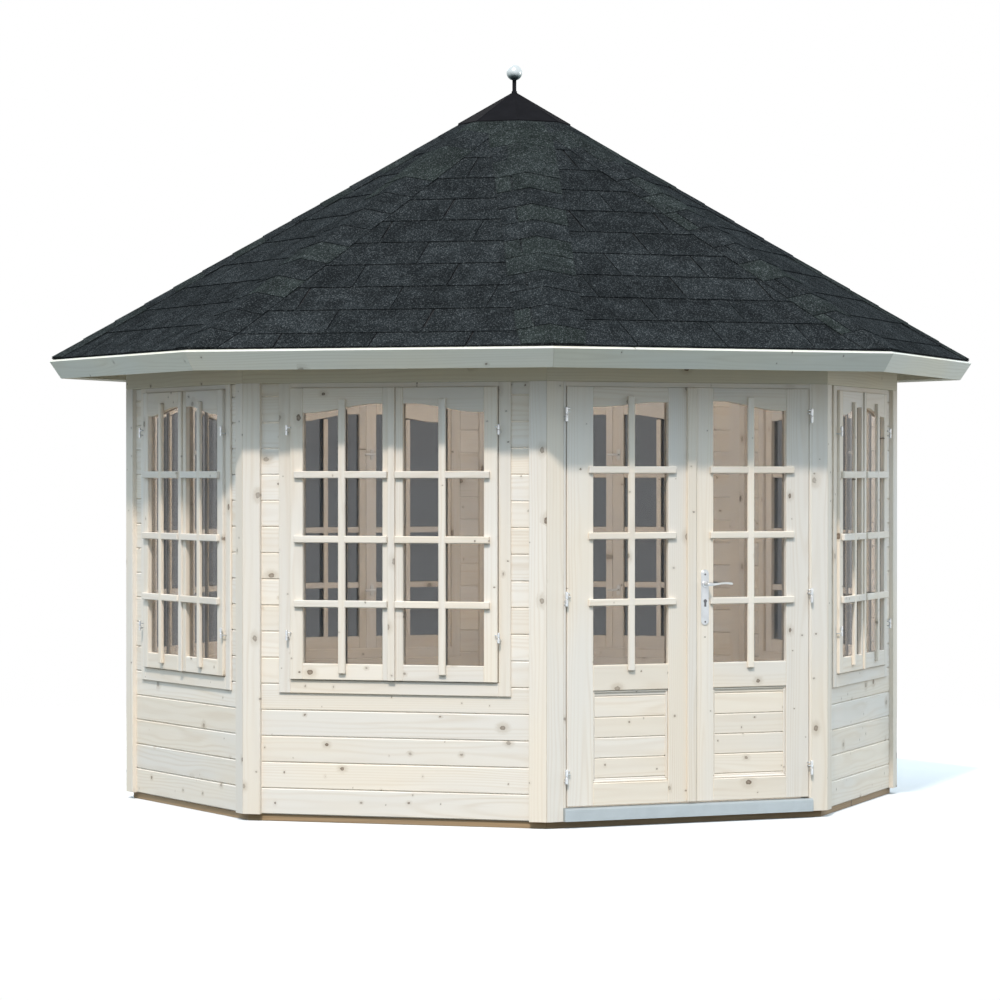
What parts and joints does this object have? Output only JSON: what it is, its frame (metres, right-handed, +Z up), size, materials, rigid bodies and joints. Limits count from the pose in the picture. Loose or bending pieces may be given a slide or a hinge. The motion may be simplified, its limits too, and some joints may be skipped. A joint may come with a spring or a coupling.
{
  "type": "garden gazebo",
  "caption": "Closed octagonal timber garden gazebo with double doors, arched casement windows and a low pyramid shingle roof with a ball finial",
  "frame": {"origin": "on the ground, under the centre of the eight-sided plan", "axes": "+Z up, the double doors face -Y, +X is to the right of a person who faces the doors"},
  "size_m": [4.0268, 4.0268, 3.4431],
  "materials": {
    "spruce_boards": "bare planed spruce boards",
    "spruce_frames": "bare planed spruce joinery",
    "floor_timber": "planed floor boards",
    "foundation_timber": "treated brown timber",
    "threshold_metal": "matt pale grey",
    "shingles": "mineral granules on bitumen, charcoal",
    "cap_sheet": "plain black sheet",
    "finial_metal": "turned metal",
    "bright_steel": "satin zinc",
    "glass": "clear"
  },
  "bodies": {
    "house": {"foundation_beams": "foundation_timber", "floor_boards": "floor_timber", "door_threshold": "threshold_metal", "corner_posts": "spruce_frames", "wall_front_right": "spruce_boards", "wall_right": "spruce_boards", "wall_back_right": "spruce_boards", "wall_back": "spruce_boards", "wall_back_left": "spruce_boards", "wall_left": "spruce_boards", "wall_front_left": "spruce_boards", "window_frame_front_right": "spruce_frames", "window_frame_right": "spruce_frames", "window_frame_back_right": "spruce_frames", "window_frame_back": "spruce_frames", "window_frame_back_left": "spruce_frames", "window_frame_left": "spruce_frames", "window_frame_front_left": "spruce_frames", "window_sashes_front_right": "spruce_frames", "window_sashes_right": "spruce_frames", "window_sashes_back_right": "spruce_frames", "window_sashes_back": "spruce_frames", "window_sashes_back_left": "spruce_frames", "window_sashes_left": "spruce_frames", "window_sashes_front_left": "spruce_frames", "window_glass": "glass", "window_hinges": "bright_steel", "window_handles": "bright_steel", "door_frame": "spruce_frames", "door_hinges_frame": "bright_steel", "eaves_beams": "spruce_boards", "hip_rafters": "spruce_boards", "roof_boards": "spruce_boards", "roof_covering": "shingles", "fascia_boards": "spruce_frames", "roof_cap": "cap_sheet", "finial": "finial_metal"},
    "left_door": {"door_leaf_left": "spruce_frames", "door_glass_left": "glass", "door_hinges_left": "bright_steel"},
    "right_door": {"door_leaf_right": "spruce_frames", "door_glass_right": "glass", "door_hinges_right": "bright_steel", "door_handle_plates": "bright_steel"},
    "lever": {"door_lever": "bright_steel"}
  },
  "joints": [
    {"name": "left_door_hinge", "type": "hinge", "parent": "house", "child": "left_door", "pos_m": [-0.609, -1.698, 1], "axis": [0, 0, -1], "range_deg": [0, 110]},
    {"name": "right_door_hinge", "type": "hinge", "parent": "house", "child": "right_door", "pos_m": [0.609, -1.698, 1], "axis": [0, 0, 1], "range_deg": [0, 110]},
    {"name": "lever_turn", "type": "hinge", "parent": "right_door", "child": "lever", "pos_m": [0.073, -1.69, 1.037], "axis": [0, 1, 0], "range_deg": [0, 40], "stiffness_Nm_per_rad": 1.2, "springref_deg": -28.65}
  ]
}
